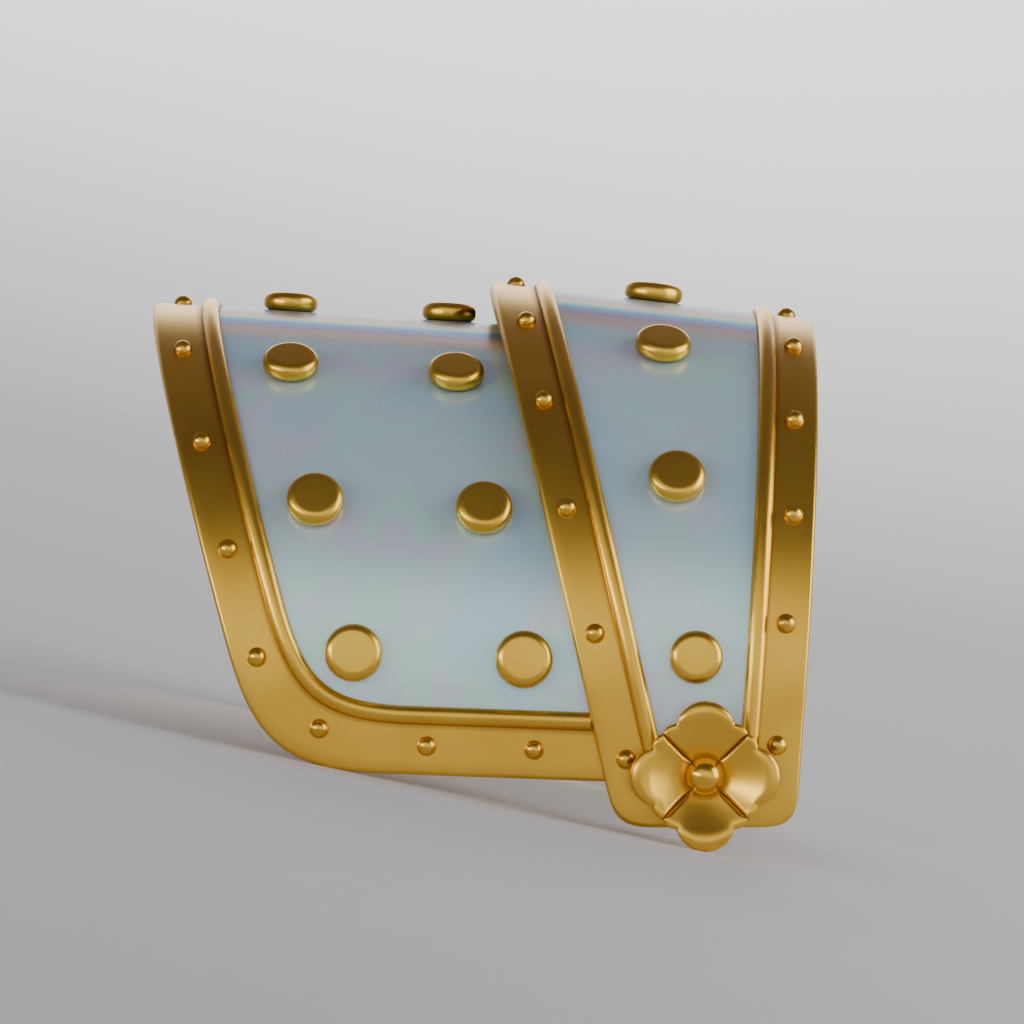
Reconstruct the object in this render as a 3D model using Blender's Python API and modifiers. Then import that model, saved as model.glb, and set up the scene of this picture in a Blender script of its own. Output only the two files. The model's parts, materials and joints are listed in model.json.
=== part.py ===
"""A shoulder guard: an outer plate over the upper arm, and an inner plate that laps over it at the neck.

Lengths are metres. The worn frame has its origin on the axis of the two pins, X towards the neck, Y from the
front of the shoulder to the back and Z up. Each plate is half an elliptic arch on straight legs. A place on a
plate is an x and a run: the distance down its outer face from the ridge, along the ellipse and then the leg.
Everything is built for the front half and mirrored, and the finished guard is set down on its four feet.
"""

import math

import bmesh
import bpy
import numpy as np
from mathutils import Matrix, Vector

# Walls, and the gap between pieces that touch
WALL = 0.004
SEAT_GAP = 0.0003
JOINT_GAP = 0.0003

# Inner plate, which laps over the outer one: arch, then the lean and place of its two edges
INNER_HALF_DEPTH = 0.113
INNER_RISE = 0.1089
INNER_RIDGE_FALL = math.radians(6.6)
INNER_SPRING_HEIGHT = 0.0218
INNER_FOOT_DROP = 0.0142
INNER_ARM_EDGE = -0.0271
INNER_ARM_LEAN = math.radians(12.6)
INNER_NECK_EDGE = 0.0258
INNER_NECK_LEAN = math.radians(-4.1)
INNER_BORDER = 0.0142
INNER_FOOT_BORDER = 0.0223
INNER_CORNER = 0.0105
INNER_PANEL_CORNER = 0.004

# Outer plate, carried under the inner one
SPRING_DROP = 0.003
OUTER_SPRING_FALL = math.radians(2.1)
OUTER_RIDGE_FALL = math.radians(3.6)
LAP_GAP = 0.0037
OUTER_FOOT_DROP = 0.0031
OUTER_ARM_EDGE = -0.1195
OUTER_ARM_LEAN = math.radians(15.1)
OUTER_BORDER = 0.0154
OUTER_FOOT_BORDER = 0.0162
OUTER_CORNER = 0.034
OUTER_PANEL_CORNER = 0.029
NECK_SETBACK = 0.012
EAR_DROP = 0.005
EAR_REACH = 0.020
EAR_SLOPE = 0.008
CORNER_FULLNESS = 0.8

# Half-round beads and the rounded rim
BEAD_WIDTH = 0.0049
BEAD_HEIGHT = 0.0021
RIM_ROUNDING = 0.0013
BEAD_STOP = 0.0047

# Domed rivets, raised from the borders
RIVET_RADIUS = 0.0027
RIVET_PITCH = 0.029
RIVET_FIRST = 0.0188
FOOT_RIVETS = 3
FOOT_RIVET_SHARE = 0.58
ARM_FOOT_RIVET_HEIGHT = 0.0042
NECK_FOOT_RIVET_HEIGHT = 0.008

# Rows of rivets: degrees from the ridge, and each one's share of the way from the rim to the bead
OUTER_RIVET_ROWS = (
    {"angle": 0.0, "share": 0.56},
    {"angle": 30.4, "share": 0.517},
    {"angle": 51.6, "share": 0.517},
    {"angle": 69.6, "share": 0.53},
    {"angle": 85.5, "share": 0.555},
)
INNER_ARM_RIVET_ROWS = (
    {"angle": 0.0, "share": 0.585},
    {"angle": 26.3, "share": 0.60},
    {"angle": 45.6, "share": 0.566},
    {"angle": 63.8, "share": 0.525},
    {"angle": 81.7, "share": 0.515},
)
INNER_NECK_RIVET_ROWS = (
    {"angle": 0.0, "share": 0.58},
    {"angle": 25.6, "share": 0.567},
    {"angle": 45.5, "share": 0.562},
    {"angle": 63.0, "share": 0.528},
    {"angle": 79.8, "share": 0.567},
)

# Flat round studs
STUD_RADIUS = 0.0078
STUD_HEIGHT = 0.0053
STUD_TOP_ROUNDING = 0.0026
STUD_FOOT_ROUNDING = 0.0021

# Rosettes, their balls and the pins behind them
ROSETTE_LOBE_RADIUS = 0.00805
ROSETTE_LOBE_CENTRE = 0.0121
ROSETTE_SHOULDER = 0.0162
ROSETTE_SHOULDER_BULGE = 0.0005
ROSETTE_CUSP = math.radians(29.3)
ROSETTE_HUB_RADIUS = 0.0068
ROSETTE_LEAF = 0.0017
ROSETTE_CUP = 0.0045
ROSETTE_DISH = 0.0155
ROSETTE_GROOVE = 0.0009
ROSETTE_UNDERCUT = 0.93
ROSETTE_CREASE = 0.94
ROSETTE_RINGS = (0.7, 0.5)
PETAL_ANGLES = (-45.0, -42.0, -36.0, -29.3, -16.0, 0.0, 16.0, 29.3, 36.0, 42.0)
BOSS_RADIUS = 0.005
BOSS_SINK = 0.0007
PIN_RADIUS = 0.0015
PIN_CLEARANCE = 0.0003
PIN_HEAD_RADIUS = 0.0032
PIN_HEAD_HEIGHT = 0.001
BORE_OVERRUN = 0.011

# Fineness of the meshes, and of the measure down each arch
MEASURE_STEPS = 720
ARCH_STEPS = 18
CORNER_STEPS = 6
STUD_STEPS = 12
BEAD_SIDES = 4
RIVET_RINGS = 4
RIVET_STEPS = 8
PIN_STEPS = 12
BOSS_STEPS = 14
BOSS_RINGS = 10

# Rows of studs: degrees from the ridge, then each stud's share of the way from its left bead to what lies
# right of it, and its size as a share of the stud's radius
OUTER_STUD_ROWS = (
    {"angle": 0.0, "arm": 0.27, "neck": 0.82},
    {"angle": 34.4, "arm": 0.244, "neck": 0.801},
    {"angle": 61.6, "arm": 0.225, "neck": 0.794},
    {"angle": 84.4, "arm": 0.230, "neck": 0.814},
)
INNER_STUD_ROWS = (
    {"angle": 0.0, "share": 0.505, "size": 1.08},
    {"angle": 31.5, "share": 0.50, "size": 1.01},
    {"angle": 58.5, "share": 0.495, "size": 1.0},
    {"angle": 84.9, "share": 0.52, "size": 0.92},
)

GOLD = {"colour": (0.60, 0.40, 0.10), "metallic": 1.0, "roughness": 0.34}
PEARL = {"colour": (0.50, 0.58, 0.66), "metallic": 0.0, "roughness": 0.25}
STEEL = {"colour": (0.42, 0.33, 0.16), "metallic": 1.0, "roughness": 0.45}


class Former:
    """The elliptic arch that a plate is rolled over: where any x and run on its outer face lies."""

    def __init__(self, half_depth, rise, ridge_fall, spring_height, spring_fall):
        self.half_depth = half_depth
        self.rise = rise
        self.rise_slope = math.tan(spring_fall) - math.tan(ridge_fall)
        self.spring_height = spring_height
        self.spring_slope = -math.tan(spring_fall)
        self.angles = np.linspace(0.0, math.pi / 2, MEASURE_STEPS + 1)
        across = np.diff(half_depth * np.sin(self.angles))
        down = np.diff(rise * np.cos(self.angles))
        self.runs = np.concatenate([[0.0], np.cumsum(np.hypot(across, down))])
        self.quarter = float(self.runs[-1])

    def angle_at(self, run):
        return float(np.interp(run, self.runs, self.angles))

    def run_at(self, degrees):
        return float(np.interp(math.radians(degrees), self.angles, self.runs))

    def height_terms(self, run):
        """The height of the face at this run as a constant and a slope along x."""
        rise_share = math.cos(self.angle_at(run))
        leg = max(run - self.quarter, 0.0)
        fixed = self.spring_height + self.rise * rise_share - leg
        return fixed, self.spring_slope + self.rise_slope * rise_share

    def place(self, x, run, lift=0.0):
        """The point at x and run, moved off the outer face by lift."""
        angle = self.angle_at(run)
        fixed, slope = self.height_terms(run)
        rise = self.rise + self.rise_slope * x
        point = Vector((x, -self.half_depth * math.sin(angle), fixed + slope * x))
        return point + self.normal(x, run, angle, slope, rise) * lift

    def normal(self, x, run, angle, slope, rise):
        if run >= self.quarter:
            return Vector((0.0, -1.0, 0.0))
        level = self.half_depth * math.cos(angle)
        return Vector((-slope * level, -rise * math.sin(angle), level)).normalized()

    def outward(self, x, run):
        angle = self.angle_at(run)
        slope = self.height_terms(run)[1]
        return self.normal(x, run, angle, slope, self.rise + self.rise_slope * x)

    def x_on_edge(self, run, edge, lean):
        """Where a plate edge, cut as a plane that leans from upright, crosses this run."""
        fixed, slope = self.height_terms(run)
        return (edge - math.tan(lean) * fixed) / (1.0 + math.tan(lean) * slope)


def eased_corner(start, corner, end, steps):
    """Points of a rounded corner, from start to end inclusive."""
    first = start.lerp(corner, CORNER_FULLNESS)
    second = end.lerp(corner, CORNER_FULLNESS)
    points = []
    for step in range(steps + 1):
        t = step / steps
        s = 1.0 - t
        points.append(start * s**3 + first * (3 * s * s * t) + second * (3 * s * t * t) + end * t**3)
    return points


def side_line(former, edge, lean, foot, reach, inward):
    """One side of a plate as (x, run) points: ridge to foot, then round the corner onto the foot line."""
    points = []
    straight_end = foot - reach
    for step in range(ARCH_STEPS):
        run = straight_end * step / ARCH_STEPS
        points.append(Vector((former.x_on_edge(run, edge, lean), run)))
    start = Vector((former.x_on_edge(straight_end, edge, lean), straight_end))
    corner = Vector((former.x_on_edge(foot, edge, lean), foot))
    end = corner + Vector((inward * reach, 0.0))
    return points + eased_corner(start, corner, end, CORNER_STEPS)


def shifted(path, distance):
    """The path moved sideways in x and run. On the ridge, where the halves meet, it moves along x."""
    moved = []
    for index, point in enumerate(path):
        before = path[max(index - 1, 0)]
        after = path[min(index + 1, len(path) - 1)]
        along = (after - before).normalized()
        if point.y == 0.0:
            moved.append(point + Vector((distance / abs(along.y), 0.0)) * math.copysign(1.0, along.y))
        else:
            moved.append(point + Vector((along.y, -along.x)) * distance)
    return moved


def material_for(name, finish):
    material = bpy.data.materials.new(name)
    material.use_nodes = True
    shader = material.node_tree.nodes["Principled BSDF"]
    shader.inputs["Base Color"].default_value = (*finish["colour"], 1.0)
    shader.inputs["Metallic"].default_value = finish["metallic"]
    shader.inputs["Roughness"].default_value = finish["roughness"]
    return material


def object_from(bm, name, finish, collection, sharp_angle=40.0):
    mesh = bpy.data.meshes.new(name)
    bm.to_mesh(mesh)
    bm.free()
    mesh.shade_smooth()
    mesh.set_sharp_from_angle(angle=math.radians(sharp_angle))
    mesh.materials.append(material_for(name, finish))
    part = bpy.data.objects.new(name, mesh)
    collection.objects.link(part)
    return part


def woven(rows, closed_rows):
    """A skin through rows of points. Closed rows run round a section, back to their first point."""
    bm = bmesh.new()
    across = len(rows[0]) if closed_rows else len(rows[0]) - 1
    along = len(rows) - 1
    bmesh.ops.create_grid(bm, x_segments=across, y_segments=along, size=0.5)
    for vert in bm.verts:
        column = round((vert.co.x + 0.5) * across) % len(rows[0])
        row = round((vert.co.y + 0.5) * along)
        vert.co = rows[row][column]
    bmesh.ops.remove_doubles(bm, verts=bm.verts, dist=1e-7)
    return bm


def cap_rows(bm, rows):
    """Closes a tube over each of these end rows."""
    for row in rows:
        ring = [min(bm.verts, key=lambda vert: (vert.co - point).length) for point in row]
        bm.faces.new(ring)


def mirrored(part):
    mirror = part.modifiers.new("both_halves", "MIRROR")
    mirror.use_axis = (False, True, False)
    mirror.use_clip = True
    mirror.merge_threshold = 0.00001
    return part


def rounded_section(near, far):
    """A border's section from its rim at near to its joint at far: each point's share and depth."""
    width = (far - near).length
    turn = RIM_ROUNDING / width
    eased = turn * (1.0 - math.sqrt(0.5))
    shallow = RIM_ROUNDING * (1.0 - math.sqrt(0.5))
    section = [(1.0, 0.0), (turn, 0.0), (eased, shallow), (0.0, RIM_ROUNDING)]
    section += [(share, WALL - depth) for share, depth in reversed(section)]
    return section


def border(name, former, outline, joint, finish, collection, capped):
    """A flat border between a plate's outline and its joint with the panel."""
    rows = []
    for near, far in zip(outline, joint):
        section = rounded_section(near, far)
        spots = [(near.lerp(far, share), depth) for share, depth in section]
        rows.append([former.place(spot.x, spot.y, -depth) for spot, depth in spots])
    bm = woven(rows, closed_rows=True)
    if capped:
        cap_rows(bm, rows[-1:])
    bmesh.ops.recalc_face_normals(bm, faces=bm.faces)
    return mirrored(object_from(bm, name, finish, collection))


def bead(name, former, line, finish, collection, last_x=None):
    """A half-round bead that lies along a line of (x, run) points. last_x gives its end, for each height."""
    half = BEAD_WIDTH / 2
    turns = [math.pi * step / BEAD_SIDES for step in range(BEAD_SIDES + 1)]
    rows = []
    for index in range(len(line)):
        row = []
        for turn in turns:
            spot = shifted(line, half * math.cos(turn))[index]
            if last_x and index == len(line) - 1:
                spot.x = last_x(spot.y)
            lift = SEAT_GAP + BEAD_HEIGHT * math.sin(turn)
            row.append(former.place(spot.x, spot.y, lift))
        rows.append(row)
    bm = woven(rows, closed_rows=True)
    cap_rows(bm, rows[-1:])
    bmesh.ops.recalc_face_normals(bm, faces=bm.faces)
    return mirrored(object_from(bm, name, finish, collection))


def panel(name, former, arm_side, neck_side, collection):
    """A plate's pearl panel: an open sheet between its two sides, with a wall inside it."""
    rows = []
    for arm, neck in zip(arm_side, neck_side):
        spots = [arm.lerp(neck, share) for share in (0.0, 0.5, 1.0)]
        rows.append([former.place(spot.x, spot.y) for spot in spots])
    bm = woven(rows, closed_rows=False)
    bm.normal_update()
    highest = max(bm.faces, key=lambda face: face.calc_center_median().z)
    if highest.normal.z < 0:
        bmesh.ops.reverse_faces(bm, faces=bm.faces)
    sheet = mirrored(object_from(bm, name, PEARL, collection))
    wall = sheet.modifiers.new("wall", "SOLIDIFY")
    wall.thickness = WALL
    wall.offset = -1.0
    wall.use_even_offset = True
    return sheet


def turned(name, profile, steps, finish, collection):
    """A turned piece: its profile runs down its outer side, top to bottom, and turns about Z."""
    bm = bmesh.new()
    verts = [bm.verts.new((radius, 0.0, height)) for radius, height in profile]
    for first, second in zip(verts, verts[1:]):
        bm.edges.new((first, second))
    piece = object_from(bm, name, finish, collection)
    screw = piece.modifiers.new("turn", "SCREW")
    screw.steps = steps
    screw.render_steps = steps
    screw.use_merge_vertices = True
    screw.merge_threshold = 0.00001
    return piece


def stud_profile(radius):
    """Flat on top and below, with a full round between the two."""
    profile = [(0.0, STUD_HEIGHT)]
    for degrees in (90, 45, 0):
        turn = math.radians(degrees)
        inner = radius - STUD_TOP_ROUNDING
        height = STUD_HEIGHT - STUD_TOP_ROUNDING
        arc = (inner + STUD_TOP_ROUNDING * math.cos(turn), height + STUD_TOP_ROUNDING * math.sin(turn))
        profile.append(arc)
    for degrees in (0, 60):
        turn = math.radians(degrees)
        inner = radius - STUD_FOOT_ROUNDING
        arc = (inner + STUD_FOOT_ROUNDING * math.cos(turn), STUD_FOOT_ROUNDING * (1.0 - math.sin(turn)))
        profile.append(arc)
    profile.append((radius - STUD_FOOT_ROUNDING, 0.0))
    profile.append((0.0, 0.0))
    return profile


def standing_on(former, x, run, lift, back):
    """Where a piece that stands on the face goes, with its own Z outwards. back is its mirrored place."""
    spot = former.place(x, run, lift)
    out = former.outward(x, run)
    side = Vector((1.0, 0.0, 0.0))
    up = out.cross(side).normalized()
    side = up.cross(out)
    matrix = Matrix.Translation(spot) @ Matrix((side, up, out)).transposed().to_4x4()
    return Matrix.Rotation(math.pi, 4, "Z") @ turn_in_x(matrix) if back else matrix


def turn_in_x(matrix):
    """The place whose half turn about Z is the given place's mirror image in the middle plane."""
    flip = Matrix.Diagonal((-1.0, 1.0, 1.0, 1.0))
    return flip @ matrix @ flip


def stud_row(label, former, degrees, x, radius, collection):
    """The studs of one row place: one on the ridge, or one in front and one behind."""
    run = former.run_at(degrees)
    sides = ("ridge",) if degrees == 0.0 else ("front", "back")
    for side in sides:
        name = f"stud_{label}_{side}"
        stud = turned(name, stud_profile(radius), STUD_STEPS, GOLD, collection)
        stud.matrix_world = standing_on(former, x, run, SEAT_GAP, side == "back")


def rivet_domes(name, former, spots, helpers):
    """Balls sunk to their middles in a border, for a union with it."""
    bm = bmesh.new()
    for spot in spots:
        for back in (False, True):
            if back and spot.y == 0.0:
                continue
            matrix = standing_on(former, spot.x, spot.y, 0.0, back)
            bmesh.ops.create_uvsphere(
                bm, u_segments=RIVET_STEPS, v_segments=RIVET_RINGS, radius=RIVET_RADIUS, matrix=matrix
            )
    domes = object_from(bm, name, GOLD, helpers)
    domes.hide_render = True
    domes.display_type = "WIRE"
    return domes


def pin_bore(helpers):
    """One cutter for the holes of both pins in both plates."""
    bm = bmesh.new()
    radius = PIN_RADIUS + PIN_CLEARANCE
    turn = Matrix.Rotation(math.pi / 2, 4, "X")
    length = 2 * (INNER_HALF_DEPTH + BORE_OVERRUN)
    bmesh.ops.create_cone(
        bm, cap_ends=True, segments=PIN_STEPS, radius1=radius, radius2=radius, depth=length, matrix=turn
    )
    bore = object_from(bm, "pin_bore", STEEL, helpers)
    bore.hide_render = True
    bore.display_type = "WIRE"
    return bore


def boolean(part, operation, other):
    step = part.modifiers.new(operation.lower(), "BOOLEAN")
    step.operation = operation
    step.solver = "EXACT"
    step.object = other


def petal_radius(angle):
    """The flower's outline: how far its edge lies from the middle, at an angle from the petal's own axis."""
    if abs(angle) < ROSETTE_CUSP:
        across = ROSETTE_LOBE_CENTRE * math.sin(angle)
        return ROSETTE_LOBE_CENTRE * math.cos(angle) + math.sqrt(ROSETTE_LOBE_RADIUS**2 - across**2)
    share = (abs(angle) - ROSETTE_CUSP) / (math.pi / 4 - ROSETTE_CUSP)
    return ROSETTE_SHOULDER + ROSETTE_SHOULDER_BULGE * math.sin(math.pi * share)


def rosette(name, collection):
    """Four cupped petals on a round hub, with its own Z outwards from the plate."""
    under = 2 * SEAT_GAP + BEAD_HEIGHT
    face = under + ROSETTE_LEAF
    flat = BOSS_RADIUS + SEAT_GAP
    bore = PIN_RADIUS + PIN_CLEARANCE

    def cupped(radius):
        return ROSETTE_CUP * min((radius - flat) / (ROSETTE_DISH - flat), 1.0)

    rows = []
    for petal in range(4):
        for degrees in PETAL_ANGLES:
            angle = math.radians(degrees)
            rim = petal_radius(angle)
            groove = ROSETTE_GROOVE if degrees == PETAL_ANGLES[0] else 0.0
            section = [(bore, SEAT_GAP), (ROSETTE_HUB_RADIUS, SEAT_GAP), (ROSETTE_HUB_RADIUS, under)]
            section.append((rim * ROSETTE_UNDERCUT, under + cupped(rim)))
            section.append((rim, under + cupped(rim) + ROSETTE_LEAF / 2))
            for share in (ROSETTE_CREASE, *ROSETTE_RINGS):
                section.append((rim * share, face + cupped(rim * share) - groove))
            section += [(flat, face), (bore, face)]
            turn = math.pi / 2 * petal + angle
            rows.append([Vector((r * math.sin(turn), r * math.cos(turn), z)) for r, z in section])
    rows.append(rows[0])
    bm = woven(rows, closed_rows=True)
    bmesh.ops.recalc_face_normals(bm, faces=bm.faces)
    return object_from(bm, name, GOLD, collection)


def boss(name, collection):
    """A ball with a flat seat."""
    bm = bmesh.new()
    bmesh.ops.create_uvsphere(bm, u_segments=BOSS_STEPS, v_segments=BOSS_RINGS, radius=BOSS_RADIUS)
    everything = bm.verts[:] + bm.edges[:] + bm.faces[:]
    cut = bmesh.ops.bisect_plane(
        bm, geom=everything, plane_co=(0, 0, -BOSS_SINK), plane_no=(0, 0, 1), clear_inner=True
    )
    rim = [item for item in cut["geom_cut"] if isinstance(item, bmesh.types.BMEdge)]
    bmesh.ops.edgeloop_fill(bm, edges=rim)
    bmesh.ops.recalc_face_normals(bm, faces=bm.faces)
    return object_from(bm, name, GOLD, collection)


def pin_profile():
    """Round shank with a low flat head inside the guard, from the rosette's face to the head."""
    top = 2 * SEAT_GAP + BEAD_HEIGHT + ROSETTE_LEAF
    head_top = -(WALL + SEAT_GAP + WALL + SEAT_GAP)
    head_foot = head_top - PIN_HEAD_HEIGHT
    return [
        (0.0, top),
        (PIN_RADIUS, top),
        (PIN_RADIUS, head_top),
        (PIN_HEAD_RADIUS, head_top),
        (PIN_HEAD_RADIUS, head_foot),
        (0.0, head_foot),
    ]


def world_points(parts):
    """Every corner of the evaluated parts, as an array."""
    bpy.context.view_layer.update()
    graph = bpy.context.evaluated_depsgraph_get()
    found = []
    for part in parts:
        shape = part.evaluated_get(graph)
        mesh = shape.to_mesh()
        found += [shape.matrix_world @ vert.co for vert in mesh.vertices]
        shape.to_mesh_clear()
    return np.array(found)


def resting_tilt(arm_feet, neck_feet):
    """The turn about Y at which the guard's arm end and its rosettes stand on one level surface."""

    def lowest(points, turn):
        return (points[:, 2] * math.cos(turn) - points[:, 0] * math.sin(turn)).min()

    low, high = -math.pi / 4, math.pi / 4
    for _ in range(40):
        middle = (low + high) / 2
        if lowest(arm_feet, middle) > lowest(neck_feet, middle):
            high = middle
        else:
            low = middle
    return (low + high) / 2


for leftover in list(bpy.data.objects):
    bpy.data.objects.remove(leftover)
parts = bpy.data.collections.new("shoulder_guard")
helpers = bpy.data.collections.new("shoulder_guard_helpers")
bpy.context.scene.collection.children.link(parts)
bpy.context.scene.collection.children.link(helpers)

# The two formers. The outer plate's legs seat inside the inner plate's, and its ridge clears the inner plate.
inner = Former(INNER_HALF_DEPTH, INNER_RISE, INNER_RIDGE_FALL, INNER_SPRING_HEIGHT, 0.0)
hidden_edge = INNER_NECK_EDGE - NECK_SETBACK
ridge_end = inner.x_on_edge(0.0, hidden_edge, INNER_NECK_LEAN)
ridge_height = inner.place(ridge_end, 0.0).z - WALL - LAP_GAP + ridge_end * math.tan(OUTER_RIDGE_FALL)
outer_spring = INNER_SPRING_HEIGHT - SPRING_DROP
outer_half_depth = INNER_HALF_DEPTH - WALL - SEAT_GAP
outer_rise = ridge_height - outer_spring
outer = Former(outer_half_depth, outer_rise, OUTER_RIDGE_FALL, outer_spring, OUTER_SPRING_FALL)

# Inner plate: its outline, and the joint line under its beads
inner_foot = inner.quarter + INNER_SPRING_HEIGHT + INNER_FOOT_DROP
inner_panel_foot = inner_foot - INNER_FOOT_BORDER
inner_arm_line = INNER_ARM_EDGE + INNER_BORDER / math.cos(INNER_ARM_LEAN)
inner_neck_line = INNER_NECK_EDGE - INNER_BORDER / math.cos(INNER_NECK_LEAN)
inner_arm_rim = side_line(inner, INNER_ARM_EDGE, INNER_ARM_LEAN, inner_foot, INNER_CORNER, 1)
inner_neck_rim = side_line(inner, INNER_NECK_EDGE, INNER_NECK_LEAN, inner_foot, INNER_CORNER, -1)
inner_arm_joint = side_line(inner, inner_arm_line, INNER_ARM_LEAN, inner_panel_foot, INNER_PANEL_CORNER, 1)
inner_neck_joint = side_line(
    inner, inner_neck_line, INNER_NECK_LEAN, inner_panel_foot, INNER_PANEL_CORNER, -1
)
inner_rim = inner_arm_rim + inner_neck_rim[::-1]
inner_joint = inner_arm_joint + inner_neck_joint[::-1]
inner_trim = border(
    "inner_trim", inner, inner_rim, shifted(inner_joint, -JOINT_GAP / 2), GOLD, parts, capped=False
)
inner_arm_side = shifted(inner_arm_joint, JOINT_GAP / 2)
panel("inner_plate", inner, inner_arm_side, shifted(inner_neck_joint, -JOINT_GAP / 2), parts)

# Its beads stop under the rosette
inner_straight = len([point for point in inner_arm_joint if point.y <= inner_panel_foot - INNER_PANEL_CORNER])


def with_stop(side, edge, lean):
    """The straight part of a joint line, carried on down to the bead's end."""
    stop = inner.quarter + INNER_SPRING_HEIGHT - BEAD_STOP
    return side[:inner_straight] + [Vector((inner.x_on_edge(stop, edge, lean), stop))]


bead("inner_bead_arm", inner, with_stop(inner_arm_joint, inner_arm_line, INNER_ARM_LEAN), GOLD, parts)
bead("inner_bead_neck", inner, with_stop(inner_neck_joint, inner_neck_line, INNER_NECK_LEAN), GOLD, parts)

# Outer plate: its rim runs on under the inner plate, where an ear takes the pin
outer_foot = outer.quarter + outer_spring + OUTER_FOOT_DROP
outer_panel_foot = outer_foot - OUTER_FOOT_BORDER
outer_line = OUTER_ARM_EDGE + OUTER_BORDER / math.cos(OUTER_ARM_LEAN)
outer_rim = side_line(outer, OUTER_ARM_EDGE, OUTER_ARM_LEAN, outer_foot, OUTER_CORNER, 1)
outer_joint = side_line(outer, outer_line, OUTER_ARM_LEAN, outer_panel_foot, OUTER_PANEL_CORNER, 1)


def hidden_x(run):
    return outer.x_on_edge(run, hidden_edge, INNER_NECK_LEAN)


def ear(x):
    """How far the foot drops at this x, to carry the pin."""
    share = min(max((x + EAR_REACH) / EAR_SLOPE, 0.0), 1.0)
    return EAR_DROP * share * share * (3.0 - 2.0 * share)


ear_xs = [-EAR_REACH + EAR_SLOPE * step / 4 for step in range(5)]
rim_tail = [Vector((x, outer_foot + ear(x))) for x in [*ear_xs, hidden_x(outer_foot + EAR_DROP)]]
joint_tail = [Vector((x, outer_panel_foot)) for x in [*ear_xs, hidden_x(outer_panel_foot)]]
outer_trim = border(
    "outer_trim",
    outer,
    outer_rim + rim_tail,
    shifted(outer_joint + joint_tail, -JOINT_GAP / 2),
    GOLD,
    parts,
    capped=True,
)
outer_arm_side = shifted(outer_joint, JOINT_GAP / 2)
panel("outer_plate", outer, outer_arm_side, [Vector((hidden_x(p.y), p.y)) for p in outer_arm_side], parts)


def bead_end_x(run):
    """The outer bead stops against the inner plate's edge."""
    return inner.x_on_edge(inner_run_at(run), INNER_ARM_EDGE, INNER_ARM_LEAN) - JOINT_GAP


def inner_run_at(run):
    """The inner plate's run at the height of this run on the outer plate's leg, near the pins."""
    height = outer.height_terms(run)[0] + outer.spring_slope * INNER_ARM_EDGE
    if height < INNER_SPRING_HEIGHT:
        return inner.quarter + INNER_SPRING_HEIGHT - height
    return inner.run_at(math.degrees(math.acos((height - INNER_SPRING_HEIGHT) / INNER_RISE)))


bead_tail = [Vector((bead_end_x(outer_panel_foot), outer_panel_foot))]
bead("outer_bead", outer, outer_joint + bead_tail, GOLD, parts, last_x=bead_end_x)

# Rivets, along each border between its rim and its bead
half_bead = BEAD_WIDTH / 2


def between(former, run, share, rim_edge, line_edge, lean):
    """A place on a border at this run, and at this share of the way from its rim to its bead."""
    crease = line_edge - math.copysign(half_bead / math.cos(lean), line_edge - rim_edge)
    return Vector((former.x_on_edge(run, rim_edge + (crease - rim_edge) * share, lean), run))


outer_spots = []
for row in OUTER_RIVET_ROWS:
    run = outer.run_at(row["angle"])
    outer_spots.append(between(outer, run, row["share"], OUTER_ARM_EDGE, outer_line, OUTER_ARM_LEAN))
crease_line = shifted(outer_joint, -half_bead)
for count in range(FOOT_RIVETS):
    rivet_x = bead_end_x(outer_foot) - RIVET_FIRST - RIVET_PITCH * count
    rim_run = np.interp(rivet_x, [p.x for p in outer_rim], [p.y for p in outer_rim])
    crease_run = np.interp(rivet_x, [p.x for p in crease_line], [p.y for p in crease_line])
    outer_spots.append(Vector((rivet_x, rim_run + (crease_run - rim_run) * FOOT_RIVET_SHARE)))
boolean(outer_trim, "UNION", rivet_domes("outer_rivets", outer, outer_spots, helpers))

inner_spots = []
for rows, foot_height, rim_edge, line_edge, lean in (
    (INNER_ARM_RIVET_ROWS, ARM_FOOT_RIVET_HEIGHT, INNER_ARM_EDGE, inner_arm_line, INNER_ARM_LEAN),
    (INNER_NECK_RIVET_ROWS, NECK_FOOT_RIVET_HEIGHT, INNER_NECK_EDGE, inner_neck_line, INNER_NECK_LEAN),
):
    for row in rows:
        run = inner.run_at(row["angle"])
        inner_spots.append(between(inner, run, row["share"], rim_edge, line_edge, lean))
    foot_run = inner.quarter + INNER_SPRING_HEIGHT - foot_height
    inner_spots.append(between(inner, foot_run, FOOT_RIVET_SHARE, rim_edge, line_edge, lean))
boolean(inner_trim, "UNION", rivet_domes("inner_rivets", inner, inner_spots, helpers))

bore = pin_bore(helpers)
boolean(outer_trim, "DIFFERENCE", bore)
boolean(inner_trim, "DIFFERENCE", bore)

# Studs
for number, row in enumerate(OUTER_STUD_ROWS):
    run = outer.run_at(row["angle"])
    left = outer.x_on_edge(run, outer_line, OUTER_ARM_LEAN)
    right = outer.x_on_edge(run, INNER_ARM_EDGE, INNER_ARM_LEAN)
    for column in ("arm", "neck"):
        x = left + (right - left) * row[column]
        stud_row(f"outer_{column}_{number}", outer, row["angle"], x, STUD_RADIUS, parts)
for number, row in enumerate(INNER_STUD_ROWS):
    run = inner.run_at(row["angle"])
    left = inner.x_on_edge(run, inner_arm_line, INNER_ARM_LEAN)
    right = inner.x_on_edge(run, inner_neck_line, INNER_NECK_LEAN)
    x = left + (right - left) * row["share"]
    stud_row(f"inner_{number}", inner, row["angle"], x, STUD_RADIUS * row["size"], parts)

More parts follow.
